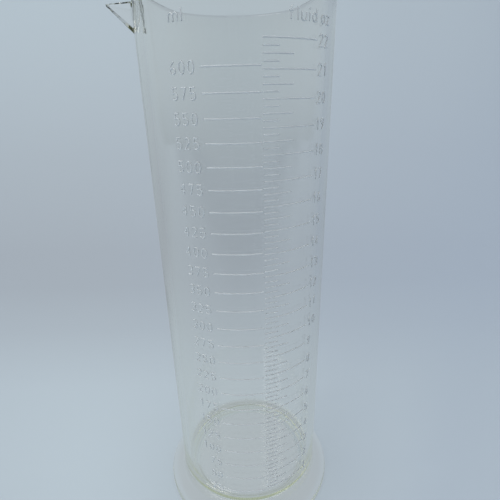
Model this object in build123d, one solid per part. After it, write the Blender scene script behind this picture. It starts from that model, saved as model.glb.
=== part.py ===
from build123d import *
import math
import os

# Clear moulded graduate with a tapered barrel, a flared hollow foot, a V-shaped pour spout and two raised scales.
# Units are millimetres, +Z is up, and the origin is the centre of the ring that the foot stands on.
# Azimuths are degrees round the barrel, from the front (-Y) towards the right (+X).
# The millilitre and fluid-ounce scales meet at azimuth 0.

# Driving dimensions: barrel and foot
TOTAL_HEIGHT = 220.0
BASE_RADIUS = 34.4  # outside radius of the barrel's cone, where it would reach the table
TAPER = 0.0069  # millimetres of radius gained in each millimetre of height
WALL = 3.0
RIM_ROUND = 1.0
FLOOR_HEIGHT = 10.0  # inside floor above the table
FLOOR_THICKNESS = 3.0
INNER_CORNER = 5.0  # radius between the floor and the wall
FOOT_RADIUS = 41.3
FOOT_LIP = 3.0  # thickness of the foot at its edge
FOOT_FLARE = 5.5  # radius that carries the barrel out into the foot
FOOT_EDGE_ROUND = 1.2
FOOT_HEEL_CHAMFER = 0.5
FOOT_RING = 4.0  # width of the ring that touches the table, chamfer included

# Driving dimensions: pour spout
SPOUT_AZIMUTH = -90.0
SPOUT_REACH = 8.1  # tip beyond the outside of the rim
SPOUT_DROP = 3.3  # top edges below the rim
SPOUT_DEPTH = 9.0  # keel below the top edges, where it meets the barrel
SPOUT_HALF_WIDTH = 5.9  # at the top edges, where it meets the barrel
SPOUT_WALL = 1.3
SPOUT_TIP_HALF_WIDTH = 0.8
SPOUT_TIP_DEPTH = 0.5
SPOUT_KEEL_ROUND = 0.3

# Driving dimensions: raised scales
RELIEF = 0.3
LINE_WIDTH = 0.5
MARK_MARGIN = 0.8  # bare wall kept below the lowest mark
DATUM_GAP = 0.25  # degrees between the scales' shared edge and the lines
ML_STEP = 25.0
ML_TOP = 600.0
ML_LINE_SPAN = 30.0
ML_LABEL_EDGE = 33.0
ML_HEADING_EDGE = 37.5
OUNCE_ML = 28.4131
OUNCE_TOP = 22.0
OUNCE_LINE_SPAN = 33.0
HALF_OUNCE_LINE_SPAN = 17.0
QUARTER_OUNCE_LINE_SPAN = 9.0
OUNCE_LABEL_EDGE = 35.0
OUNCE_HEADING_EDGE = 13.4
HEADING_DROP = 10.5  # middle of the headings below the rim

# Driving dimensions: raised characters
GLYPH_WIDTH = 2.4
WIDE_GLYPH_WIDTH = 3.8  # the letter m
GLYPH_HEIGHT = 4.0
GLYPH_GAP = 0.9
WORD_SPACE = 0.5  # added between words, beside the gaps
PEN = 0.5  # width of a raised stroke

BARREL_BOTTOM = FLOOR_HEIGHT + INNER_CORNER


def outer_radius(z):
    return BASE_RADIUS + TAPER * z


def inner_radius(z):
    return outer_radius(z) - WALL


FLOOR_RADIUS = inner_radius(BARREL_BOTTOM) - INNER_CORNER
SPOUT_ROOT = inner_radius(TOTAL_HEIGHT) - 1.0  # radius where the spout's shapes begin, inside the wall
SPOUT_TIP = outer_radius(TOTAL_HEIGHT) + SPOUT_REACH


def volume_below(z):
    """Contents in cubic millimetres up to height z: a cone's frustum less the rounded inside corner."""
    rise = z - FLOOR_HEIGHT
    start = inner_radius(FLOOR_HEIGHT)
    frustum = math.pi * rise * (start**2 + start * TAPER * rise + (TAPER * rise) ** 2 / 3)
    corner_area = (1 - math.pi / 4) * INNER_CORNER**2
    corner_centre = start - INNER_CORNER * (10 - 3 * math.pi) / (12 - 3 * math.pi)
    return frustum - 2 * math.pi * corner_centre * corner_area


def level_of(millilitres):
    """Height at which the barrel holds this volume, by Newton's method."""
    z = FLOOR_HEIGHT
    for _ in range(12):
        area = math.pi * inner_radius(z) ** 2
        z += (millilitres * 1000 - volume_below(z)) / area
    return z


def arm(azimuth):
    """Plane that stands upright on the axis at an azimuth: its x is outwards, its y is up."""
    angle = math.radians(azimuth)
    outwards = (math.sin(angle), -math.cos(angle), 0)
    return Plane(origin=(0, 0, 0), x_dir=outwards, z_dir=(-math.cos(angle), -math.sin(angle), 0))


def surface_plane(azimuth, z):
    """Plane on the barrel: its x runs right round the barrel, its y is up, its z is outwards."""
    angle = math.radians(azimuth)
    outwards = (math.sin(angle), -math.cos(angle), 0)
    centre = tuple(outer_radius(z) * part for part in outwards[:2]) + (z,)
    return Plane(origin=centre, x_dir=(math.cos(angle), math.sin(angle), 0), z_dir=outwards)


def turned(*edges):
    """Solid of revolution about Z from a closed outline drawn on the XZ plane."""
    return revolve(Plane.XZ * make_face(edges), axis=Axis.Z)


def outline(*points):
    """Straight edges through points, as a list."""
    return [Line(a, b) for a, b in zip(points, points[1:])]


def cone_solid(extra, bottom, top):
    """Solid cone whose side lies the given distance outside the barrel's outer face."""
    corners = [
        (0, bottom),
        (outer_radius(bottom) + extra, bottom),
        (outer_radius(top) + extra, top),
        (0, top),
        (0, bottom),
    ]
    return turned(*outline(*corners))


def spout_section(plane_distance, half_width, depth, above):
    """V with a rounded keel and upright sides above it, across the spout at a distance from the axis."""
    angle = math.radians(SPOUT_AZIMUTH)
    outwards = Vector(math.sin(angle), -math.cos(angle), 0)
    sideways = Vector(math.cos(angle), math.sin(angle), 0)
    origin = outwards * plane_distance + Vector(0, 0, TOTAL_HEIGHT - SPOUT_DROP)
    corners = [(-half_width, 0), (0, -depth), (half_width, 0)]
    if above:
        corners += [(half_width, above), (-half_width, above)]
    section = make_face(Polyline(*corners, close=True))
    keel = section.vertices().sort_by(Axis.Y)[0]
    return Plane(origin=origin, x_dir=sideways, z_dir=outwards) * fillet(keel, SPOUT_KEEL_ROUND)


def spout_wedge(tip_distance, half_width, depth, tip_half_width, tip_depth, above=0.0):
    """Wedge from the barrel's outer face to the tip, and on through the wall with the same V."""
    root = spout_section(SPOUT_ROOT, half_width, depth, above)
    face = spout_section(outer_radius(TOTAL_HEIGHT), half_width, depth, above)
    tip = spout_section(tip_distance, tip_half_width, tip_depth, above)
    return loft([root, face, tip], ruled=True)


def spout_outside():
    return spout_wedge(SPOUT_TIP, SPOUT_HALF_WIDTH, SPOUT_DEPTH, SPOUT_TIP_HALF_WIDTH, SPOUT_TIP_DEPTH)


def spout_channel():
    """The hollow of the spout, which also cuts the barrel's wall up through the rim."""
    slope = (SPOUT_HALF_WIDTH - SPOUT_TIP_HALF_WIDTH) / SPOUT_REACH
    side = SPOUT_WALL * math.hypot(1, slope)
    drop = SPOUT_WALL * math.hypot(1, (SPOUT_DEPTH - SPOUT_TIP_DEPTH) / SPOUT_REACH)
    return spout_wedge(
        SPOUT_TIP - SPOUT_WALL,
        SPOUT_HALF_WIDTH - side,
        SPOUT_DEPTH - drop,
        SPOUT_TIP_HALF_WIDTH,
        SPOUT_TIP_DEPTH,
        SPOUT_DROP + 1.0,
    )


def make_barrel():
    corners = [
        (inner_radius(BARREL_BOTTOM), BARREL_BOTTOM),
        (outer_radius(BARREL_BOTTOM), BARREL_BOTTOM),
        (outer_radius(TOTAL_HEIGHT), TOTAL_HEIGHT),
        (inner_radius(TOTAL_HEIGHT), TOTAL_HEIGHT),
    ]
    wall = make_face(Polyline(*corners, close=True))
    rim_corners = wall.vertices().group_by(Axis.Y)[-1]
    tube = revolve(Plane.XZ * fillet(rim_corners, RIM_ROUND), axis=Axis.Z)
    return tube - spout_channel()


def make_floor_disc():
    disc = Cylinder(FLOOR_RADIUS, FLOOR_THICKNESS, align=(Align.CENTER, Align.CENTER, Align.MAX))
    return Pos(0, 0, FLOOR_HEIGHT) * disc


def make_foot():
    underside = FLOOR_HEIGHT - FLOOR_THICKNESS
    flare_top = FOOT_LIP + FOOT_FLARE
    flare_radius = outer_radius(flare_top) + FOOT_FLARE
    inside = outline(
        (FOOT_RADIUS - FOOT_RING, 0),
        (FLOOR_RADIUS, underside),
        (FLOOR_RADIUS, FLOOR_HEIGHT),
    )
    corner = CenterArc((FLOOR_RADIUS, BARREL_BOTTOM), INNER_CORNER, -90, 90)
    wall = outline(
        (inner_radius(BARREL_BOTTOM), BARREL_BOTTOM),
        (outer_radius(BARREL_BOTTOM), BARREL_BOTTOM),
        (outer_radius(flare_top), flare_top),
    )
    flare = CenterArc((flare_radius, flare_top), FOOT_FLARE, 180, 90)
    lip = outline((flare_radius, FOOT_LIP), (FOOT_RADIUS - FOOT_EDGE_ROUND, FOOT_LIP))
    edge = CenterArc(
        (FOOT_RADIUS - FOOT_EDGE_ROUND, FOOT_LIP - FOOT_EDGE_ROUND), FOOT_EDGE_ROUND, 0, 90
    )
    heel = outline(
        (FOOT_RADIUS, FOOT_LIP - FOOT_EDGE_ROUND),
        (FOOT_RADIUS, FOOT_HEEL_CHAMFER),
        (FOOT_RADIUS - FOOT_HEEL_CHAMFER, 0),
        (FOOT_RADIUS - FOOT_RING, 0),
    )
    return turned(*inside, corner, *wall, flare, *lip, edge, *heel)


def make_pour_spout():
    barrel_inside = cone_solid(0, BARREL_BOTTOM, TOTAL_HEIGHT)
    return spout_outside() - spout_channel() - barrel_inside


def make_line(z, start, stop):
    """Raised line round the barrel at a height, between two azimuths."""
    low = z - LINE_WIDTH / 2
    high = z + LINE_WIDTH / 2
    corners = [
        (outer_radius(low), low),
        (outer_radius(low) + RELIEF, low),
        (outer_radius(high) + RELIEF, high),
        (outer_radius(high), high),
    ]
    face = arm(start) * make_face(Polyline(*corners, close=True))
    return revolve(face, axis=Axis.Z, revolution_arc=stop - start)


def line_fits(z):
    low_enough = z < TOTAL_HEIGHT - HEADING_DROP - GLYPH_HEIGHT / 2 - MARK_MARGIN
    return low_enough and z - LINE_WIDTH / 2 > BARREL_BOTTOM + MARK_MARGIN


def label_fits(z):
    return line_fits(z) and z - GLYPH_HEIGHT / 2 > BARREL_BOTTOM + MARK_MARGIN


def graduations(first, last, step):
    """Values from first up to last, in steps."""
    steps = math.floor((last - first) / step + 1e-6)
    return [first + step * i for i in range(steps + 1)]


def ounce_level(ounces):
    return level_of(ounces * OUNCE_ML)


def ounce_lines(first, step, span):
    levels = [ounce_level(ounces) for ounces in graduations(first, OUNCE_TOP, step)]
    return [make_line(z, DATUM_GAP, span) for z in levels if line_fits(z)]


def make_ml_lines():
    levels = [level_of(volume) for volume in graduations(ML_STEP, ML_TOP, ML_STEP)]
    return [make_line(z, -ML_LINE_SPAN, -DATUM_GAP) for z in levels if line_fits(z)]


# Each character is a list of pen strokes in a box of width W and height H. The m is M wide, and i and l are upright lines.
W = GLYPH_WIDTH - PEN
M = WIDE_GLYPH_WIDTH - PEN
H = GLYPH_HEIGHT - PEN
BOWL = H / 4  # half the height of a bowl of 3, 6, 8 and 9
FIVE_BOWL = 0.3 * H
X_HEIGHT = 0.66 * H
ARCH = 0.25 * H  # height of the arches of f, m and u


def stroke(*points):
    return Polyline(*points)


def bowl(y, start, sweep, half_height=BOWL):
    """Part of an ellipse as wide as the character, with its centre at height y."""
    return EllipticalCenterArc((W / 2, y), W / 2, half_height, start_angle=start, arc_size=sweep)


def ring(y, half_height):
    return bowl(y, 0, 360, half_height)


def arch(x, y, half_width, start, sweep):
    return EllipticalCenterArc((x, y), half_width, ARCH, start_angle=start, arc_size=sweep)


GLYPHS = {
    "0": lambda: [ring(H / 2, H / 2)],
    "1": lambda: [stroke((0.2 * W, 0.78 * H), (0.6 * W, H), (0.6 * W, 0))],
    "2": lambda: [bowl(H - BOWL, -20, 180), stroke((0.96 * W, 0.66 * H), (0, 0), (W, 0))],
    "3": lambda: [bowl(H - BOWL, -90, 240), bowl(BOWL, -150, 240)],
    "4": lambda: [stroke((W, 0.3 * H), (0, 0.3 * H), (0.7 * W, H)), stroke((0.7 * W, H), (0.7 * W, 0))],
    "5": lambda: [
        stroke((0.95 * W, H), (0.1 * W, H), (0.1 * W, 0.52 * H)),
        bowl(FIVE_BOWL, -150, 290, FIVE_BOWL),
    ],
    "6": lambda: [ring(BOWL, BOWL), stroke((0, BOWL), (0.25 * W, 0.75 * H), (0.8 * W, H))],
    "7": lambda: [stroke((0, H), (W, H), (0.35 * W, 0))],
    "8": lambda: [ring(BOWL, BOWL), ring(H - BOWL, BOWL)],
    "9": lambda: [ring(H - BOWL, BOWL), stroke((W, H - BOWL), (0.75 * W, 0.25 * H), (0.2 * W, 0))],
    "m": lambda: [
        stroke((0, 0), (0, X_HEIGHT)),
        arch(M / 4, X_HEIGHT - ARCH, M / 4, 0, 180),
        stroke((M / 2, X_HEIGHT - ARCH), (M / 2, 0)),
        arch(3 * M / 4, X_HEIGHT - ARCH, M / 4, 0, 180),
        stroke((M, X_HEIGHT - ARCH), (M, 0)),
    ],
    "l": lambda: [stroke((0, 0), (0, H))],
    "i": lambda: [stroke((0, 0), (0, X_HEIGHT)), stroke((0, H - PEN), (0, H))],
    "u": lambda: [
        stroke((0, X_HEIGHT), (0, ARCH)),
        arch(W / 2, ARCH, W / 2, 180, 180),
        stroke((W, X_HEIGHT), (W, 0)),
    ],
    "d": lambda: [ring(X_HEIGHT / 2, X_HEIGHT / 2), stroke((W, 0), (W, H))],
    "f": lambda: [
        stroke((0.4 * W, 0), (0.4 * W, H - ARCH)),
        arch(0.7 * W, H - ARCH, 0.3 * W, 90, 90),
        stroke((0, X_HEIGHT), (0.8 * W, X_HEIGHT)),
    ],
    "o": lambda: [ring(X_HEIGHT / 2, X_HEIGHT / 2)],
    "z": lambda: [stroke((0, X_HEIGHT), (W, X_HEIGHT), (0, 0), (W, 0))],
}


def character_width(character):
    """Width over a character's strokes, or the width that a space adds."""
    other_widths = {"i": PEN, "l": PEN, "m": WIDE_GLYPH_WIDTH, " ": WORD_SPACE}
    return other_widths.get(character, GLYPH_WIDTH)


def make_character(character, azimuth, z, relief_shell):
    """One raised character, centred on a point of the barrel."""
    strokes = [trace(edge, line_width=PEN) for edge in GLYPHS[character]()]
    centred = Pos((PEN - character_width(character)) / 2, -H / 2) * (Sketch() + strokes)
    behind = surface_plane(azimuth, z).offset(-2 * RELIEF)
    blank = extrude(behind * centred, amount=4 * RELIEF)
    return blank & relief_shell


def make_text(text, first_azimuth, z, relief_shell):
    """Raised text that starts at an azimuth and follows the barrel round."""
    solids = []
    start = 0.0
    for character in text:
        width = character_width(character)
        azimuth = first_azimuth + math.degrees((start + width / 2) / outer_radius(z))
        if character != " ":
            solids.append(make_character(character, azimuth, z, relief_shell))
        start += width + GLYPH_GAP
    return solids


def text_width(text, z):
    """Degrees that a text takes round the barrel."""
    length = sum(character_width(character) + GLYPH_GAP for character in text) - GLYPH_GAP
    return math.degrees(length / outer_radius(z))


def make_ml_numerals(relief_shell):
    solids = []
    for volume in graduations(ML_STEP, ML_TOP, ML_STEP):
        z = level_of(volume)
        text = f"{volume:.0f}"
        if label_fits(z):
            solids += make_text(text, -ML_LABEL_EDGE - text_width(text, z), z, relief_shell)
    return solids


def make_ounce_numerals(relief_shell):
    solids = []
    for ounces in graduations(1, OUNCE_TOP, 1):
        z = ounce_level(ounces)
        if label_fits(z):
            solids += make_text(f"{ounces:.0f}", OUNCE_LABEL_EDGE, z, relief_shell)
    return solids


def make_ml_heading(relief_shell):
    z = TOTAL_HEIGHT - HEADING_DROP
    return make_text("ml", -ML_HEADING_EDGE - text_width("ml", z), z, relief_shell)


def make_ounce_heading(relief_shell):
    return make_text("fluid oz", OUNCE_HEADING_EDGE, TOTAL_HEIGHT - HEADING_DROP, relief_shell)


def solids_of(shapes):
    return [solid for shape in shapes for solid in shape.solids()]


def main():
    relief_shell = cone_solid(RELIEF, BARREL_BOTTOM, TOTAL_HEIGHT) - cone_solid(0, 0, TOTAL_HEIGHT)
    nodes = {
        "barrel": [make_barrel()],
        "floor_disc": [make_floor_disc()],
        "foot": [make_foot()],
        "pour_spout": [make_pour_spout()],
        "ml_lines": make_ml_lines(),
        "fluid_ounce_lines": ounce_lines(1, 1, OUNCE_LINE_SPAN),
        "half_ounce_lines": ounce_lines(1.5, 1, HALF_OUNCE_LINE_SPAN),
        "quarter_ounce_lines": ounce_lines(1.25, 0.5, QUARTER_OUNCE_LINE_SPAN),
        "ml_numerals": make_ml_numerals(relief_shell),
        "fluid_ounce_numerals": make_ounce_numerals(relief_shell),
        "ml_heading": make_ml_heading(relief_shell),
        "fluid_ounce_heading": make_ounce_heading(relief_shell),
    }
    os.makedirs("parts", exist_ok=True)
    for name, shapes in nodes.items():
        export_step(Compound(children=solids_of(shapes)), f"parts/{name}.step")


if __name__ == "__main__":
    main()
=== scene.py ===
import math

import bmesh
import bpy
import numpy as np
from mathutils import Matrix, Vector
from mathutils.geometry import delaunay_2d_cdt


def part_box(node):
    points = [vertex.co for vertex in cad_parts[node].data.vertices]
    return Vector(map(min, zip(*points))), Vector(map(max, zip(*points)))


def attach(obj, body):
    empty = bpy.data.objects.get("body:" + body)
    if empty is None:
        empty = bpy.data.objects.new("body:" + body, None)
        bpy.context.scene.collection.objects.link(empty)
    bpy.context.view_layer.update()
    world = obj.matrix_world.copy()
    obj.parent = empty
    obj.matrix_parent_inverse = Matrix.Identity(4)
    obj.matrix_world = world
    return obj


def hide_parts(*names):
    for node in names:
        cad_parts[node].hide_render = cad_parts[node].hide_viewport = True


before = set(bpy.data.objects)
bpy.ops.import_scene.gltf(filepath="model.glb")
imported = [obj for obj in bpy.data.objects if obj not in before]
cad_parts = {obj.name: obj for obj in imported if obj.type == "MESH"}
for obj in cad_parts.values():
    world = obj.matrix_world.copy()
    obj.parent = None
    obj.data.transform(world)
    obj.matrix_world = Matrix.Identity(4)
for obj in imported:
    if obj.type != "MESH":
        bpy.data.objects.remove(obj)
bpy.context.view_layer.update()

bl_info = {
    "name": "Clear Measuring Graduate",
    "version": (1, 0, 0),
    "blender": (4, 5, 0),
    "location": "3D View > Sidebar > Graduate",
    "description": "Builds the clear moulding, raised scales and studio of a measuring graduate",
    "category": "Object",
}

# Lengths are metres and +Z is up. Azimuths are radians round the barrel, from the front (-Y)
# towards +X.
BARREL_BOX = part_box("barrel")
FOOT_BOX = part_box("foot")
FLOOR_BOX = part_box("floor_disc")
MM = 0.001

TOP = BARREL_BOX[1].z
BARREL_BOTTOM = BARREL_BOX[0].z
FLOOR_TOP = FLOOR_BOX[1].z
FLOOR_UNDERSIDE = FLOOR_BOX[0].z
FLOOR_RADIUS = FLOOR_BOX[1].x
INNER_CORNER = BARREL_BOTTOM - FLOOR_TOP
FOOT_RADIUS = FOOT_BOX[1].x
TABLE = FOOT_BOX[0].z
SPOUT_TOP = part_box("pour_spout")[1].z

# Edges that turn by more than these stay sharp on the smooth moulding and marks.
MOULDING_CREASE = math.radians(35)
MARK_CREASE = math.radians(60)

# How far the spout's wedges run past the faces that they join or cut.
OVERLAP = 1.0 * MM

# Points of a CAD mesh that are nearer than this are one point.
WELD = 0.001 * MM

# Gap under the foot that keeps the paper from touching it.
PAPER_GAP = 0.05 * MM

# Turns that light may take inside the clear plastic, whose foot traps it for many.
BOUNCES = 32

# The camera's lens is in millimetres. It leans by its roll, clockwise when negative.
CAMERA_LENS = 28.29
CAMERA_NEAR, CAMERA_FAR = 0.01, 20.0
CAMERA_PLACE = Vector((-34.69, -159.09, 186.45)) * MM
CAMERA_AHEAD = Vector((0.2176, 0.9070, -0.3603))
CAMERA_ROLL = math.radians(-1.42)


# ---------------------------------------------------------------- sizes and colours

class MouldingSizes(bpy.types.PropertyGroup):
    """Sizes of the clear moulding that the frame's boxes don't give."""

    wall: bpy.props.FloatProperty(
        name="Wall", description="Thickness of the barrel's wall", default=3.0 * MM, unit="LENGTH"
    )
    rim_round: bpy.props.FloatProperty(
        name="Rim round", description="Radius of the rim's edges", default=1.0 * MM, unit="LENGTH"
    )
    foot_lip: bpy.props.FloatProperty(
        name="Foot lip", description="Thickness of the foot at its edge", default=3.0 * MM,
        unit="LENGTH",
    )
    foot_flare: bpy.props.FloatProperty(
        name="Foot flare", description="Radius between barrel and foot", default=5.5 * MM,
        unit="LENGTH",
    )
    foot_edge: bpy.props.FloatProperty(
        name="Foot edge", description="Radius of the foot's upper edge", default=1.2 * MM,
        unit="LENGTH",
    )
    foot_heel: bpy.props.FloatProperty(
        name="Foot heel", description="Radius of the foot's lower edge", default=0.5 * MM,
        unit="LENGTH",
    )
    foot_ring: bpy.props.FloatProperty(
        name="Foot ring", description="Width of the ring that stands on the table",
        default=4.0 * MM, unit="LENGTH",
    )
    hollow_round: bpy.props.FloatProperty(
        name="Hollow round", description="Radius where the foot's underside meets the floor's",
        default=4.0 * MM, unit="LENGTH",
    )
    segments: bpy.props.IntProperty(
        name="Segments", description="Divisions round the barrel", default=256, min=32
    )


class SpoutSizes(bpy.types.PropertyGroup):
    """Sizes of the V-shaped pour spout."""

    azimuth: bpy.props.FloatProperty(
        name="Azimuth", description="Direction of the spout", default=math.radians(-90.0),
        subtype="ANGLE",
    )
    reach: bpy.props.FloatProperty(
        name="Reach", description="Tip beyond the barrel's outer face", default=8.1 * MM,
        unit="LENGTH",
    )
    depth: bpy.props.FloatProperty(
        name="Depth", description="Keel below the top edges at the barrel", default=9.0 * MM,
        unit="LENGTH",
    )
    half_width: bpy.props.FloatProperty(
        name="Half width", description="Half the width at the barrel", default=5.9 * MM,
        unit="LENGTH",
    )
    wall: bpy.props.FloatProperty(
        name="Wall", description="Thickness of the spout's sides", default=1.3 * MM, unit="LENGTH"
    )
    keel_round: bpy.props.FloatProperty(
        name="Keel round", description="Radius of the keel at the barrel", default=0.6 * MM,
        unit="LENGTH",
    )
    tip_half_width: bpy.props.FloatProperty(
        name="Tip half width", description="Half the width at the tip", default=0.8 * MM,
        unit="LENGTH",
    )
    tip_depth: bpy.props.FloatProperty(
        name="Tip depth", description="Depth of the keel at the tip", default=0.5 * MM,
        unit="LENGTH",
    )


class MarkSizes(bpy.types.PropertyGroup):
    """Section of the raised lines and characters."""

    relief: bpy.props.FloatProperty(
        name="Relief", description="Height of the marks above the wall", default=0.3 * MM,
        unit="LENGTH",
    )
    seat: bpy.props.FloatProperty(
        name="Seat", description="Depth that a mark is let into the wall", default=0.06 * MM,
        unit="LENGTH",
    )
    pen: bpy.props.FloatProperty(
        name="Pen", description="Width of a raised stroke", default=0.5 * MM, unit="LENGTH"
    )
    grain: bpy.props.FloatProperty(
        name="Grain", description="Spacing of the points on a character", default=0.13 * MM,
        unit="LENGTH",
    )


class Finishes(bpy.types.PropertyGroup):
    """Colours of the plastic and of the studio."""

    tint: bpy.props.FloatVectorProperty(
        name="Tint", description="Colour that the plastic lets through",
        default=(0.90, 0.90, 0.45), size=3, subtype="COLOR",
    )
    tint_density: bpy.props.FloatProperty(
        name="Tint density", description="Strength of the tint for each metre of plastic",
        default=10.0,
    )
    marks: bpy.props.FloatVectorProperty(
        name="Marks", description="Colour of the marks' rubbed surface",
        default=(0.84, 0.88, 0.90), size=3, subtype="COLOR",
    )
    paper: bpy.props.FloatVectorProperty(
        name="Paper", description="Colour of the backdrop and floor",
        default=(0.475, 0.553, 0.608), size=3, subtype="COLOR",
    )
    # Painted shade: the darker tone where the backdrop bends up, and at the bend's far right.
    painted_bend_shade: bpy.props.FloatVectorProperty(
        name="Paper bend", description="Colour where the backdrop bends up",
        default=(0.366, 0.411, 0.460), size=3, subtype="COLOR",
    )
    painted_bend_shade_right: bpy.props.FloatVectorProperty(
        name="Paper bend, right", description="Colour of the bend's far right",
        default=(0.352, 0.412, 0.490), size=3, subtype="COLOR",
    )
    contact: bpy.props.FloatVectorProperty(
        name="Contact", description="Share of the paper's colour left where the foot shades it",
        default=(0.93, 0.90, 0.88), size=3, subtype="COLOR",
    )


# ---------------------------------------------------------------- helpers

def settings():
    return bpy.context.scene.graduate


def outwards(azimuth):
    """Level unit vector that points away from the axis."""
    return Vector((math.sin(azimuth), -math.cos(azimuth), 0.0))


def outer_radius(z):
    """The barrel's outside, a cone from the foot's joint up to where the rim's round begins."""
    sizes = settings().moulding
    low = FLOOR_RADIUS + INNER_CORNER + sizes.wall
    slope = (BARREL_BOX[1].x - low) / (TOP - sizes.rim_round - BARREL_BOTTOM)
    return low + slope * (z - BARREL_BOTTOM)


def inner_radius(z):
    return outer_radius(z) - settings().moulding.wall


def arc(centre, radius, start, sweep, steps=8):
    """Points along an arc of a section. Its start and sweep are degrees."""
    angles = [math.radians(start + sweep * i / steps) for i in range(steps + 1)]
    return [(centre[0] + radius * math.cos(a), centre[1] + radius * math.sin(a)) for a in angles]


def run(start, end, steps):
    """Points along a straight run of a section, without its two ends."""
    return [
        (start[0] + (end[0] - start[0]) * i / steps, start[1] + (end[1] - start[1]) * i / steps)
        for i in range(1, steps)
    ]


def new_object(name, mesh, *materials):
    piece = bpy.data.objects.new(name, mesh)
    bpy.context.scene.collection.objects.link(piece)
    for material in materials:
        mesh.materials.append(material)
    return piece


def mesh_from(name, bm):
    """Finished smooth mesh from a bmesh, with its faces turned outwards."""
    bmesh.ops.recalc_face_normals(bm, faces=bm.faces)
    for face in bm.faces:
        face.smooth = True
    mesh = bpy.data.meshes.new(name)
    bm.to_mesh(mesh)
    bm.free()
    return mesh


def lathe(profile, segments):
    """Closed solid of revolution. The profile starts and ends on the axis."""
    bm = bmesh.new()
    first = bm.verts.new((0, 0, profile[0][1]))
    last = bm.verts.new((0, 0, profile[-1][1]))
    turn = [2 * math.pi * i / segments for i in range(segments)]
    rings = [
        [bm.verts.new((radius * math.cos(a), radius * math.sin(a), z)) for a in turn]
        for radius, z in profile[1:-1]
    ]
    for i in range(segments):
        j = (i + 1) % segments
        bm.faces.new((first, rings[0][i], rings[0][j]))
        bm.faces.new((last, rings[-1][j], rings[-1][i]))
        for low, high in zip(rings, rings[1:]):
            bm.faces.new((low[i], high[i], high[j], low[j]))
    return bm


def join_sections(bm, sections):
    """Skin between closed loops of points, with a cap at each end."""
    loops = [[bm.verts.new(point) for point in section] for section in sections]
    count = len(loops[0])
    for near, far in zip(loops, loops[1:]):
        for i in range(count):
            j = (i + 1) % count
            bm.faces.new((near[i], far[i], far[j], near[j]))
    bm.faces.new(loops[0])
    bm.faces.new(loops[-1][::-1])


# ---------------------------------------------------------------- shader nodes

def add_node(tree, kind, values=(), **options):
    """New shader node with its options set, and values for its sockets by name or number."""
    node = tree.nodes.new("ShaderNode" + kind)
    for option, value in options.items():
        setattr(node, option, value)
    for socket, value in dict(values).items():
        node.inputs[socket].default_value = value
    return node


def add_ramp(tree, *stops, interpolation="LINEAR"):
    """Colour ramp with (position, grey level or colour) stops, in order."""
    node = add_node(tree, "ValToRGB")
    node.color_ramp.interpolation = interpolation
    elements = node.color_ramp.elements
    while len(elements) < len(stops):
        elements.new(1.0)
    for element, (position, value) in zip(elements, stops):
        colour = value if hasattr(value, "__len__") else (value, value, value)
        element.position = position
        element.color = (*colour, 1.0)
    return node


def wire(tree, *links):
    """Links between sockets, each given as (node, output, node, input)."""
    for source, output, target, entry in links:
        tree.links.new(source.outputs[output], target.inputs[entry])


def ray_masks(tree, direct):
    """How strongly a surface shows its plain tone to a ray, and whether the ray is a reflection.

    Gloss and clear plastic see the tone in full, and the camera sees the direct share of it.
    """
    rays = add_node(tree, "LightPath")
    indirect = add_node(tree, "Math", operation="MAXIMUM")
    camera_share = add_node(tree, "Math", {1: direct}, operation="MULTIPLY")
    seen = add_node(tree, "Math", operation="MAXIMUM")
    reflected = add_node(tree, "Math", {1: 0.5}, operation="GREATER_THAN")
    wire(
        tree,
        (rays, "Is Glossy Ray", indirect, 0),
        (rays, "Is Transmission Ray", indirect, 1),
        (rays, "Is Camera Ray", camera_share, 0),
        (indirect, 0, seen, 0),
        (camera_share, 0, seen, 1),
        (rays, "Glossy Depth", reflected, 0),
    )
    return seen, reflected


def shader_group(name, inputs, outputs):
    """Empty node group with named number sockets. The inputs come with their defaults."""
    group = bpy.data.node_groups.new(name, "ShaderNodeTree")
    for label, default in inputs.items():
        socket = group.interface.new_socket(
            name=label, in_out="INPUT", socket_type="NodeSocketFloat"
        )
        socket.default_value = default
    for label in outputs:
        group.interface.new_socket(name=label, in_out="OUTPUT", socket_type="NodeSocketFloat")
    return group, group.nodes.new("NodeGroupInput"), group.nodes.new("NodeGroupOutput")


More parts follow.
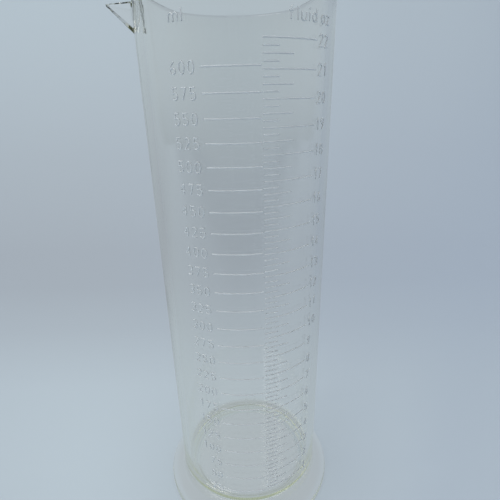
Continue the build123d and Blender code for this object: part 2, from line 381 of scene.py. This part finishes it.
def handling_wear():
    """Fine scratches, wiping haze and soft moulding waves, for every clear surface."""
    name = "Handling wear"
    if name in bpy.data.node_groups:
        return bpy.data.node_groups[name]
    group, given, made = shader_group(
        name,
        {
            "Polish": 0.02,
            "Haze": 0.05,
            "Haze scale": 40.0,
            "Scratches": 0.1,
            "Scratch scale": 250.0,
            "Wave": 1.0,
            "Wave scale": 25.0,
        },
        ("Roughness", "Height"),
    )
    place = add_node(group, "TexCoord")

    # Haze, in cloudy patches where wiping has dulled the polish.
    haze = add_node(group, "TexNoise", {"Detail": 4.0})
    haze_range = add_node(group, "MapRange", {"From Min": 0.45, "From Max": 0.75})
    haze_part = add_node(group, "Math", operation="MULTIPLY")
    wire(
        group,
        (place, "Object", haze, "Vector"),
        (given, "Haze scale", haze, "Scale"),
        (haze, "Fac", haze_range, "Value"),
        (haze_range, "Result", haze_part, 0),
        (given, "Haze", haze_part, 1),
    )

    # Scratches, fine ones drawn out up and down the barrel.
    stretch = add_node(
        group, "Mapping", {"Rotation": (0.25, 0.1, 0.0), "Scale": (1.0, 1.0, 0.06)}
    )
    scratch = add_node(group, "TexNoise", {"Detail": 2.0})
    scratch_range = add_node(group, "MapRange", {"From Min": 0.62, "From Max": 0.72})
    scratch_part = add_node(group, "Math", operation="MULTIPLY")
    wire(
        group,
        (place, "Object", stretch, "Vector"),
        (stretch, "Vector", scratch, "Vector"),
        (given, "Scratch scale", scratch, "Scale"),
        (scratch, "Fac", scratch_range, "Value"),
        (scratch_range, "Result", scratch_part, 0),
        (given, "Scratches", scratch_part, 1),
    )

    # Waves, the shallow ripples that the mould leaves.
    waves = add_node(group, "TexNoise", {"Detail": 1.0})
    wave_part = add_node(group, "Math", operation="MULTIPLY")
    wire(
        group,
        (place, "Object", waves, "Vector"),
        (given, "Wave scale", waves, "Scale"),
        (waves, "Fac", wave_part, 0),
        (given, "Wave", wave_part, 1),
    )

    # Haze and scratches add to the polish's roughness, and scratches are cut into the waves.
    both = add_node(group, "Math")
    total = add_node(group, "Math", use_clamp=True)
    height = add_node(group, "Math", operation="SUBTRACT")
    wire(
        group,
        (haze_part, 0, both, 0),
        (scratch_part, 0, both, 1),
        (both, 0, total, 0),
        (given, "Polish", total, 1),
        (total, 0, made, "Roughness"),
        (wave_part, 0, height, 0),
        (scratch_part, 0, height, 1),
        (height, 0, made, "Height"),
    )
    return group


def clear_material(name, wear, colour, clear, ior=1.55, bump=0.1, distance=0.05 * MM):
    """Plastic that is clear by a share, whose roughness and bump come from the wear group."""
    material = bpy.data.materials.new(name)
    material.use_nodes = True
    tree = material.node_tree
    shader = tree.nodes["Principled BSDF"]
    shader.inputs["Base Color"].default_value = (*colour, 1.0)
    shader.inputs["Transmission Weight"].default_value = clear
    shader.inputs["IOR"].default_value = ior
    worn = add_node(tree, "Group", wear, node_tree=handling_wear())
    bumped = add_node(tree, "Bump", {"Strength": bump, "Distance": distance})
    wire(
        tree,
        (worn, "Roughness", shader, "Roughness"),
        (worn, "Height", bumped, "Height"),
        (bumped, "Normal", shader, "Normal"),
    )
    return material


def moulding_material():
    """Clear, faintly olive plastic: the tint deepens where the light goes through more of it."""
    finishes = settings().finishes
    wear = {"Polish": 0.015, "Haze": 0.05, "Scratches": 0.1}
    material = clear_material("Clear moulded plastic", wear, colour=(1.0, 1.0, 1.0), clear=1.0)
    tree = material.node_tree
    tint = add_node(
        tree, "VolumeAbsorption",
        {"Color": (*finishes.tint, 1.0), "Density": finishes.tint_density},
    )
    wire(tree, (tint, "Volume", tree.nodes["Material Output"], "Volume"))
    return material


def mark_material():
    """The same plastic where it is raised: rubbed by handling, so dull and only a little clear."""
    name = "Raised clear marks"
    if name in bpy.data.materials:
        return bpy.data.materials[name]
    wear = {
        "Polish": 0.3, "Haze": 0.1, "Haze scale": 300.0, "Scratches": 0.1, "Scratch scale": 900.0
    }
    return clear_material(name, wear, colour=settings().finishes.marks, clear=0.2)


# ---------------------------------------------------------------- the clear moulding

def moulding_profile(sizes):
    """Half-section of the moulding as (radius, height) points.

    It goes from the axis above the floor, over the rim and under the foot, to the axis below it.
    """
    rim = sizes.rim_round
    inner_top = inner_radius(TOP)
    outer_top = outer_radius(TOP)
    flare_top = TABLE + sizes.foot_lip + sizes.foot_flare
    flare_centre = (outer_radius(flare_top) + sizes.foot_flare, flare_top)
    edge_centre = (FOOT_RADIUS - sizes.foot_edge, TABLE + sizes.foot_lip - sizes.foot_edge)
    heel_centre = (FOOT_RADIUS - sizes.foot_heel, TABLE + sizes.foot_heel)
    ring = (FOOT_RADIUS - sizes.foot_ring, TABLE)
    above_floor = (0.0, FLOOR_TOP)
    below_floor = (0.0, FLOOR_UNDERSIDE)

    corner = arc((FLOOR_RADIUS, BARREL_BOTTOM), INNER_CORNER, start=-90, sweep=90)
    inner_rim = arc((inner_top + rim, TOP - rim), rim, start=180, sweep=-90, steps=6)
    outer_rim = arc((outer_top - rim, TOP - rim), rim, start=90, sweep=-90, steps=6)
    flare = arc(flare_centre, sizes.foot_flare, start=180, sweep=90, steps=10)
    edge = arc(edge_centre, sizes.foot_edge, start=90, sweep=-90, steps=6)
    heel = arc(heel_centre, sizes.foot_heel, start=0, sweep=-90, steps=4)

    # The foot's underside slopes up from the ring, and meets the floor's level one in a round.
    slope = math.atan2(FLOOR_UNDERSIDE - TABLE, ring[0] - FLOOR_RADIUS)
    set_in = sizes.hollow_round * math.tan(slope / 2)
    hollow_centre = (FLOOR_RADIUS - set_in, FLOOR_UNDERSIDE - sizes.hollow_round)
    turn = math.degrees(slope)
    hollow = arc(hollow_centre, sizes.hollow_round, start=90 - turn, sweep=turn, steps=6)

    return [
        above_floor,
        *run(above_floor, (FLOOR_RADIUS, FLOOR_TOP), steps=6),
        *corner,
        *run(corner[-1], inner_rim[0], steps=24),
        *inner_rim,
        *outer_rim,
        *run(outer_rim[-1], flare[0], steps=24),
        *flare,
        *run(flare[-1], edge[0], steps=3),
        *edge,
        *heel,
        ring,
        *run(ring, hollow[0], steps=3),
        *hollow,
        *run(hollow[-1], below_floor, steps=6),
        below_floor,
    ]


def spout_section(half_width, drop, radius, above):
    """Points of a V with a rounded keel, and of the upright sides above it, side to side."""
    lean = math.atan2(half_width, drop)
    centre = (0.0, radius / math.sin(lean) - drop)
    across = math.degrees(lean)
    keel = arc(centre, radius, start=across - 180, sweep=180 - 2 * across)
    section = [(-half_width, 0.0), *keel, (half_width, 0.0)]
    return [(-half_width, above), *section, (half_width, above)] if above else section


def spout_wedge(sizes, wall, name):
    """V-shaped wedge through the wall and out to the tip, set in by a wall on each side.

    The solid wedge, with no wall, stops at the spout's top. The channel's wedge goes on above it.
    """
    keel_share = 0.3  # of the drop, which is as much as the keel's round may take
    rim = outer_radius(TOP)
    root = inner_radius(TOP) - OVERLAP
    slope = (sizes.half_width - sizes.tip_half_width) / sizes.reach
    fall = (sizes.depth - sizes.tip_depth) / sizes.reach
    tip = rim + sizes.reach - wall
    half_width = sizes.half_width - wall * math.hypot(1, slope)
    depth = sizes.depth - wall * math.hypot(1, fall)
    ways = outwards(sizes.azimuth)
    across = Vector((-ways.y, ways.x, 0.0))
    above = TOP - SPOUT_TOP + OVERLAP if wall else 0.0
    sections = []
    for distance in (root, rim, tip):
        share = min((tip - distance) / (tip - rim), 1.0)
        half = sizes.tip_half_width + (half_width - sizes.tip_half_width) * share
        drop = sizes.tip_depth + (depth - sizes.tip_depth) * share
        section = spout_section(half, drop, min(sizes.keel_round, keel_share * drop), above)
        sections.append(
            [ways * distance + across * u + Vector((0, 0, SPOUT_TOP + v)) for u, v in section]
        )
    bm = bmesh.new()
    join_sections(bm, sections)
    return new_object(name, mesh_from(name, bm))


def combine(piece, other, operation):
    """Adds or cuts another closed mesh, and takes that mesh away."""
    change = piece.modifiers.new(operation.title(), "BOOLEAN")
    change.operation = operation
    change.solver = "EXACT"
    change.object = other
    bpy.context.view_layer.update()
    changed = piece.evaluated_get(bpy.context.evaluated_depsgraph_get())
    result = bpy.data.meshes.new_from_object(changed)
    piece.modifiers.clear()
    piece.data = result
    bpy.data.objects.remove(other)


class GRADUATE_OT_moulding(bpy.types.Operator):
    """Build the clear one-piece moulding: barrel, floor, foot and pour spout"""

    bl_idname = "graduate.moulding"
    bl_label = "Clear moulding"

    def execute(self, context):
        name = "clear_moulding"
        sizes = settings().moulding
        spout = settings().spout
        piece = new_object(name, mesh_from(name, lathe(moulding_profile(sizes), sizes.segments)))
        combine(piece, spout_wedge(spout, 0.0, "spout_outside"), "UNION")
        combine(piece, spout_wedge(spout, spout.wall, "spout_channel"), "DIFFERENCE")
        piece.data.name = name
        piece.data.materials.clear()
        piece.data.materials.append(moulding_material())
        piece.data.set_sharp_from_angle(angle=MOULDING_CREASE)
        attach(piece, "root")
        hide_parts("barrel", "floor_disc", "foot", "pour_spout")
        return {"FINISHED"}


# ---------------------------------------------------------------- raised marks

def solids_of(node):
    """Bmesh of a CAD node, and its separate solids, each as a list of that bmesh's vertices."""
    bm = bmesh.new()
    bm.from_mesh(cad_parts[node].data)
    bmesh.ops.remove_doubles(bm, verts=bm.verts, dist=WELD)
    bm.verts.index_update()
    bm.edges.index_update()
    left = set(bm.verts)
    solids = []
    for start in bm.verts:
        if start not in left:
            continue
        left.remove(start)
        ready = [start]
        solid = []
        while ready:
            vert = ready.pop()
            solid.append(vert)
            near = [edge.other_vert(vert) for edge in vert.link_edges]
            fresh = [other for other in near if other in left]
            left.difference_update(fresh)
            ready += fresh
        solids.append(solid)
    return bm, solids


def place_of(point):
    """Azimuth and height of a point on the barrel."""
    return math.atan2(point.x, -point.y), point.z


def on_barrel(azimuth, z, height):
    """Point at a height above the barrel's outer face."""
    return outwards(azimuth) * (outer_radius(z) + height) + Vector((0, 0, z))


def ridge(bm, solid, sizes):
    """Half-round line with rounded ends, along the barrel in the place of its CAD solid."""
    places = np.array([place_of(vert.co) for vert in solid])
    start, stop = places[:, 0].min(), places[:, 0].max()
    z = (places[:, 1].min() + places[:, 1].max()) / 2
    half = sizes.pen / 2
    turn = half / outer_radius(z)
    middle_steps, round_steps = 16, 8
    end_angles = [math.radians(a) for a in (15, 40, 65)]
    stations = [(start + turn * (1 - math.cos(a)), math.sin(a)) for a in end_angles]
    stations += [
        (start + turn + (stop - start - 2 * turn) * i / middle_steps, 1.0)
        for i in range(middle_steps + 1)
    ]
    stations += [(stop - turn * (1 - math.cos(a)), math.sin(a)) for a in reversed(end_angles)]
    rounds = [math.pi * i / round_steps for i in range(round_steps + 1)]
    sections = []
    for azimuth, size in stations:
        section = [(-half * size * math.cos(a), sizes.relief * size * math.sin(a)) for a in rounds]
        section += [(half * size, -sizes.seat), (-half * size, -sizes.seat)]
        sections.append([on_barrel(azimuth, z + u, v) for u, v in section])
    join_sections(bm, sections)


def inside(points, triangles):
    """Which 2-D points lie in any of the triangles."""
    found = np.zeros(len(points), bool)
    for a, b, c in triangles:
        sides = [
            (q[0] - p[0]) * (points[:, 1] - p[1]) - (q[1] - p[1]) * (points[:, 0] - p[0])
            for p, q in ((a, b), (b, c), (c, a))
        ]
        found |= np.all(np.array(sides) >= 0, axis=0) | np.all(np.array(sides) <= 0, axis=0)
    return found


def distance_to(points, sides):
    """Distance from each 2-D point to the nearest of the sides."""
    nearest = np.full(len(points), np.inf)
    for a, b in sides:
        along = b - a
        share = np.clip((points - a) @ along / (along @ along), 0, 1)
        nearest = np.minimum(nearest, np.linalg.norm(points - a - share[:, None] * along, axis=1))
    return nearest


def unrolled_face(solid, radius, sizes):
    """Outer face of a character's CAD solid, unrolled from the barrel, in millimetres.

    Returns the face's triangles, the points of its outline, and the outline's edges as pairs of
    those points' numbers.
    """
    def flat(vert):
        azimuth, z = place_of(vert.co)
        return np.array((azimuth * radius, z)) / MM

    def is_outer(vert):
        return vert.co.to_2d().length > outer_radius(vert.co.z) + sizes.relief / 2

    faces = {
        face for vert in solid for face in vert.link_faces if all(is_outer(v) for v in face.verts)
    }
    triangles = []
    for face in faces:
        corners = [flat(vert) for vert in face.verts]
        triangles += [(corners[0], corners[i], corners[i + 1]) for i in range(1, len(corners) - 1)]
    rim = {
        edge for face in faces for edge in face.edges
        if sum(other in faces for other in edge.link_faces) == 1
    }
    rim_edges = sorted(rim, key=lambda edge: edge.index)
    rim_verts = sorted({v for edge in rim_edges for v in edge.verts}, key=lambda v: v.index)
    number = {vert: i for i, vert in enumerate(rim_verts)}
    outline = np.array([flat(vert) for vert in rim_verts])
    return triangles, outline, [(number[e.verts[0]], number[e.verts[1]]) for e in rim_edges]


def fine_cells(triangles, outline, edges, grain):
    """Fine triangles over a flat character, from a grid of points inside its outline.

    Returns the points, the triangles as points' numbers, and the points' distances from the
    outline. Grid points very near the outline are left out, because they would make slivers.
    """
    nearest_to_outline, tolerance = 0.4 * grain, 1e-6
    sides = [(outline[a], outline[b]) for a, b in edges]
    low, high = outline.min(0), outline.max(0)
    xs = np.arange(low[0] + grain / 2, high[0], grain)
    ys = np.arange(low[1] + grain / 2, high[1], grain)
    grid = np.array([(x, y) for x in xs for y in ys])
    grid = grid[inside(grid, triangles)]
    grid = grid[distance_to(grid, sides) > nearest_to_outline]
    points = [Vector(point) for point in np.vstack((outline, grid))]
    made, _, cells, *_ = delaunay_2d_cdt(points, edges, [], 0, tolerance)
    made = np.array([(point.x, point.y) for point in made])
    middles = np.array([made[list(cell)].mean(0) for cell in cells])
    cells = [cell for cell, kept in zip(cells, inside(middles, triangles)) if kept]
    return made, cells, distance_to(made, sides)


def character(bm, solid, sizes):
    """Character with rounded strokes, on the barrel in the place of its flat CAD solid."""
    radius = outer_radius(math.fsum(vert.co.z for vert in solid) / len(solid))
    face = unrolled_face(solid, radius, sizes)
    points, cells, from_outline = fine_cells(*face, sizes.grain / MM)
    depth = np.clip(from_outline / (sizes.pen / MM / 2), 0, 1)
    heights = sizes.relief * np.sqrt(1 - (1 - depth) ** 2)
    tops, seats = {}, {}
    for i in sorted({i for cell in cells for i in cell}):
        azimuth, z = points[i][0] * MM / radius, points[i][1] * MM
        tops[i] = bm.verts.new(on_barrel(azimuth, z, heights[i]))
        seats[i] = bm.verts.new(on_barrel(azimuth, z, -sizes.seat))
    borders = {}
    for cell in cells:
        bm.faces.new([tops[i] for i in cell])
        bm.faces.new([seats[i] for i in reversed(cell)])
        for a, b in zip(cell, cell[1:] + cell[:1]):
            key = (min(a, b), max(a, b))
            borders[key] = None if key in borders else (a, b)
    for side in borders.values():
        if side:
            a, b = side
            bm.faces.new((tops[b], tops[a], seats[a], seats[b]))


def build_marks(node, shape):
    """Raised marks in the places of a CAD node's marks, each shaped from its solid."""
    cad, solids = solids_of(node)
    bm = bmesh.new()
    for solid in solids:
        shape(bm, solid, settings().marks)
    cad.free()
    name = node + "_relief"
    piece = new_object(name, mesh_from(name, bm), mark_material())
    piece.data.set_sharp_from_angle(angle=MARK_CREASE)
    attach(piece, "root")
    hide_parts(node)


class GRADUATE_OT_lines(bpy.types.Operator):
    """Build the half-round graduation lines of both scales"""

    bl_idname = "graduate.lines"
    bl_label = "Graduation lines"

    def execute(self, context):
        for node in ("ml_lines", "fluid_ounce_lines", "half_ounce_lines", "quarter_ounce_lines"):
            build_marks(node, ridge)
        return {"FINISHED"}


class GRADUATE_OT_numerals(bpy.types.Operator):
    """Build the raised numerals of both scales"""

    bl_idname = "graduate.numerals"
    bl_label = "Numerals"

    def execute(self, context):
        for node in ("ml_numerals", "fluid_ounce_numerals"):
            build_marks(node, character)
        return {"FINISHED"}


class GRADUATE_OT_headings(bpy.types.Operator):
    """Build the raised unit names above the scales"""

    bl_idname = "graduate.headings"
    bl_label = "Headings"

    def execute(self, context):
        for node in ("ml_heading", "fluid_ounce_heading"):
            build_marks(node, character)
        return {"FINISHED"}


# ---------------------------------------------------------------- studio

def paper_material(total):
    """Pale paper with painted light: brightest up the backdrop and on the floor to the left,
    painted shade in the bend.

    Its total length turns metres from the paper's front edge into places along it.
    """
    def along(*stops):
        return [(metres / total, value) for metres, value in stops]

    material = bpy.data.materials.new("Studio paper")
    material.use_nodes = True
    tree = material.node_tree
    finishes = settings().finishes
    place = add_node(tree, "UVMap")
    parts = add_node(tree, "SeparateXYZ")

    # Painted light: the bright share of the tone, along the paper and across it.
    length = add_ramp(
        tree,
        *along((0.905, 0.95), (0.96, 0.82), (1.035, 0.3), (1.12, 0.02), (1.2, 0.0)),
        *along((1.4, 0.34), (1.65, 1.0)),
    )
    fan = add_ramp(
        tree, (0.0, 0.82), (0.25, 1.0), (0.5, 0.86), (0.7, 0.62), (0.85, 0.4),
        interpolation="EASE",
    )
    painted_light = add_node(tree, "Math", operation="MULTIPLY")
    # Where the painted light is weak, the tone falls to the painted shade of the bend.
    dull = add_ramp(tree, (0.3, finishes.painted_bend_shade), (0.8, finishes.painted_bend_shade_right))
    tone = add_node(tree, "Mix", {"B": (*finishes.paper, 1.0)}, data_type="RGBA")
    wire(
        tree,
        (place, "UV", parts, "Vector"),
        (parts, "Y", length, "Fac"),
        (parts, "X", fan, "Fac"),
        (parts, "X", dull, "Fac"),
        (length, "Color", painted_light, 0),
        (fan, "Color", painted_light, 1),
        (painted_light, 0, tone, "Factor"),
        (dull, "Color", tone, "A"),
    )

    # Soft shade that starts just beyond the foot's edge and is full a little way under it.
    starts, full = FOOT_RADIUS + 2.0 * MM, FOOT_RADIUS - 5.0 * MM
    spot = add_node(tree, "NewGeometry")
    level = add_node(tree, "VectorMath", operation="LENGTH")
    near = add_node(
        tree, "MapRange", {"From Min": starts, "From Max": full}, interpolation_type="SMOOTHSTEP"
    )
    shaded = add_node(
        tree, "Mix", {"B": (*finishes.contact, 1.0)}, data_type="RGBA", blend_type="MULTIPLY"
    )
    surface = tree.nodes["Principled BSDF"]
    surface.inputs["Roughness"].default_value = 0.9
    surface.inputs["Specular IOR Level"].default_value = 0.1
    glow = add_node(tree, "Emission")
    wire(
        tree,
        (spot, "Position", level, 0),
        (level, "Value", near, "Value"),
        (near, "Result", shaded, "Factor"),
        (tone, "Result", shaded, "A"),
        (shaded, "Result", surface, "Base Color"),
        (shaded, "Result", glow, "Color"),
    )

    # The paper glows with its plain tone in place of the lit paper, with painted shade towards the
    # front in reflections.
    seen, reflected = ray_masks(tree, direct=0.7)
    shade = add_ramp(tree, *along((0.5, 0.12), (0.65, 0.42), (0.77, 0.95)))
    dimming = add_node(tree, "Mix", {"A": 1.0})
    mixed = add_node(tree, "MixShader")
    wire(
        tree,
        (parts, "Y", shade, "Fac"),
        (reflected, 0, dimming, "Factor"),
        (shade, "Color", dimming, "B"),
        (dimming, "Result", glow, "Strength"),
        (seen, 0, mixed, "Fac"),
        (surface, "BSDF", mixed, 1),
        (glow, "Emission", mixed, 2),
        (mixed, "Shader", tree.nodes["Material Output"], "Surface"),
    )
    return material


def paper_sweep(heading):
    """Seamless floor and backdrop, square to the camera's heading, laid out in UV for its painted
    light and shade.

    Across the paper the painted light fans out from a point on the floor in front of the graduate.
    """
    front, bend, radius, height, half_width = -0.9, 0.22, 0.35, 1.0, 1.6
    fan_point, least_away = -0.17, 0.05
    columns_across = 24
    line = [(front, 0.0), *run((front, 0.0), (bend, 0.0), steps=40)]
    line += arc((bend, radius), radius, start=-90, sweep=90, steps=32)
    line += [*run(line[-1], (bend + radius, height), steps=16), (bend + radius, height)]
    lengths = np.cumsum([0.0] + [math.dist(a, b) for a, b in zip(line, line[1:])])
    columns = [half_width * (2 * i / columns_across - 1) for i in range(columns_across + 1)]
    bm = bmesh.new()
    uv = bm.loops.layers.uv.new("UVMap")
    rows = [[bm.verts.new((x, y, z)) for x in columns] for y, z in line]
    for i in range(len(rows) - 1):
        for j in range(columns_across):
            spots = [(i, j), (i, j + 1), (i + 1, j + 1), (i + 1, j)]
            face = bm.faces.new([rows[row][column] for row, column in spots])
            face.smooth = True
            for loop, (row, column) in zip(face.loops, spots):
                away = max(line[row][0] - fan_point, least_away)
                loop[uv].uv = (0.5 + 0.5 * columns[column] / away, lengths[row] / lengths[-1])
    mesh = bpy.data.meshes.new("paper_sweep")
    bm.to_mesh(mesh)
    bm.free()
    sweep = new_object("paper_sweep", mesh, paper_material(lengths[-1]))
    sweep.rotation_euler = (0.0, 0.0, -heading)
    sweep.location = (0.0, 0.0, TABLE - PAPER_GAP)
    return sweep


def softbox(name, place, target, side, power, glints):
    """Plain square soft light, which glints in the plastic or only lights what is matt."""
    light = bpy.data.lights.new(name, "AREA")
    light.shape = "RECTANGLE"
    light.size = light.size_y = side
    light.energy = power
    lamp = bpy.data.objects.new(name, light)
    bpy.context.scene.collection.objects.link(lamp)
    lamp.visible_glossy = lamp.visible_transmission = glints
    lamp.location = place
    lamp.rotation_euler = (Vector(target) - Vector(place)).to_track_quat("-Z", "Y").to_euler()


def camera():
    """Camera a little below the rim, looking down at the scales. Returns its heading."""
    data = bpy.data.cameras.new("camera")
    data.lens = CAMERA_LENS
    data.clip_start = CAMERA_NEAR
    data.clip_end = CAMERA_FAR
    ahead = CAMERA_AHEAD.normalized()
    right = ahead.cross(Vector((0, 0, 1))).normalized()
    up = right.cross(ahead)
    lean, hold = math.sin(CAMERA_ROLL), math.cos(CAMERA_ROLL)
    across = right * hold + up * lean
    top = up * hold - right * lean
    view = bpy.data.objects.new("camera", data)
    bpy.context.scene.collection.objects.link(view)
    turn = Matrix((across, top, -ahead)).transposed()
    view.matrix_world = Matrix.Translation(CAMERA_PLACE) @ turn.to_4x4()
    bpy.context.scene.camera = view
    return math.atan2(ahead.x, ahead.y)


def room(heading):
    """Even daylight that fills the shadows, and the room that gloss and clear plastic show.

    Straight through the plastic the room is pale, and dull only higher up. In reflections it is
    dark behind the camera and lighter to the sides.
    """
    world = bpy.data.worlds.new("room")
    world.use_nodes = True
    tree = world.node_tree
    fill = tree.nodes["Background"]
    fill.inputs["Color"].default_value = (0.90, 0.95, 1.0, 1.0)
    fill.inputs["Strength"].default_value = 0.6

    # Through the plastic, by how steeply a ray climbs: level at 0 and straight up at 1.
    pale, dull = (0.46, 0.52, 0.57), (0.16, 0.17, 0.15)
    place = add_node(tree, "TexCoord")
    parts = add_node(tree, "SeparateXYZ")
    through = add_ramp(tree, (0.35, pale), (0.5, dull), (0.8, dull), (0.95, pale))

    # In reflections, from straight behind the camera at 0 to straight ahead of it at 1, and
    # darker below the horizon.
    behind, part_way, beside = (0.16, 0.19, 0.19), (0.24, 0.26, 0.25), (0.38, 0.42, 0.44)
    half_ahead = (0.5 * math.sin(heading), 0.5 * math.cos(heading), 0.0)
    away = add_node(tree, "VectorMath", {1: half_ahead}, operation="DOT_PRODUCT")
    centred = add_node(tree, "Math", {1: 0.5}, operation="ADD")
    mirrored = add_ramp(tree, (0.02, behind), (0.2, part_way), (0.6, beside))
    below = add_node(tree, "MapRange", {"From Min": -0.12, "From Max": 0.02, "To Min": 0.3})
    dimmed = add_node(tree, "Mix", {"A": (0.06, 0.07, 0.05, 1.0)}, data_type="RGBA")

    seen, reflected = ray_masks(tree, direct=1.0)
    tone = add_node(tree, "Mix", data_type="RGBA")
    shown = add_node(tree, "Background")
    mixed = add_node(tree, "MixShader")
    wire(
        tree,
        (place, "Generated", parts, "Vector"),
        (parts, "Z", through, "Fac"),
        (parts, "Z", below, "Value"),
        (place, "Generated", away, 0),
        (away, "Value", centred, 0),
        (centred, 0, mirrored, "Fac"),
        (below, "Result", dimmed, "Factor"),
        (mirrored, "Color", dimmed, "B"),
        (reflected, 0, tone, "Factor"),
        (through, "Color", tone, "A"),
        (dimmed, "Result", tone, "B"),
        (tone, "Result", shown, "Color"),
        (seen, 0, mixed, "Fac"),
        (fill, "Background", mixed, 1),
        (shown, "Background", mixed, 2),
        (mixed, "Shader", tree.nodes["World Output"], "Surface"),
    )
    bpy.context.scene.world = world


class GRADUATE_OT_studio(bpy.types.Operator):
    """Build the paper sweep, the soft lights and the camera"""

    bl_idname = "graduate.studio"
    bl_label = "Studio"

    def execute(self, context):
        heading = camera()
        paper_sweep(heading)
        softbox(
            "overhead", place=(0.0, 0.1, 1.3), target=(0.0, 0.1, 0.0), side=0.5, power=8.0,
            glints=False,
        )
        softbox(
            "window", place=(-1.2, -0.5, 1.5), target=(0.0, 0.0, 0.1), side=1.2, power=8.0,
            glints=True,
        )
        room(heading)
        context.scene.cycles.max_bounces = BOUNCES
        context.scene.cycles.transmission_bounces = BOUNCES
        context.scene.cycles.glossy_bounces = BOUNCES
        context.scene.view_settings.view_transform = "Standard"
        return {"FINISHED"}


# ---------------------------------------------------------------- panel and registration

class GraduateSettings(bpy.types.PropertyGroup):
    """All sizes and colours of the graduate."""

    moulding: bpy.props.PointerProperty(
        type=MouldingSizes, name="Moulding", description="Barrel and foot"
    )
    spout: bpy.props.PointerProperty(type=SpoutSizes, name="Spout", description="Pour spout")
    marks: bpy.props.PointerProperty(type=MarkSizes, name="Marks", description="Raised marks")
    finishes: bpy.props.PointerProperty(type=Finishes, name="Finishes", description="Colours")


OPERATORS = (
    GRADUATE_OT_moulding,
    GRADUATE_OT_lines,
    GRADUATE_OT_numerals,
    GRADUATE_OT_headings,
    GRADUATE_OT_studio,
)


class GRADUATE_PT_build(bpy.types.Panel):
    """Sizes, colours and build steps of the graduate"""

    bl_idname = "GRADUATE_PT_build"
    bl_label = "Measuring graduate"
    bl_space_type = "VIEW_3D"
    bl_region_type = "UI"
    bl_category = "Graduate"

    def draw(self, context):
        chosen = settings()
        for group in (chosen.moulding, chosen.spout, chosen.marks, chosen.finishes):
            box = self.layout.box()
            for name in group.__annotations__:
                box.prop(group, name)
        for operator in OPERATORS:
            self.layout.operator(operator.bl_idname)


CLASSES = (
    MouldingSizes, SpoutSizes, MarkSizes, Finishes, GraduateSettings, *OPERATORS, GRADUATE_PT_build
)


def register():
    for cls in CLASSES:
        bpy.utils.register_class(cls)
    bpy.types.Scene.graduate = bpy.props.PointerProperty(type=GraduateSettings)


def unregister():
    del bpy.types.Scene.graduate
    for cls in reversed(CLASSES):
        bpy.utils.unregister_class(cls)


def main():
    register()
    bpy.ops.graduate.moulding()
    bpy.ops.graduate.lines()
    bpy.ops.graduate.numerals()
    bpy.ops.graduate.headings()
    bpy.ops.graduate.studio()


if __name__ == "__main__":
    main()
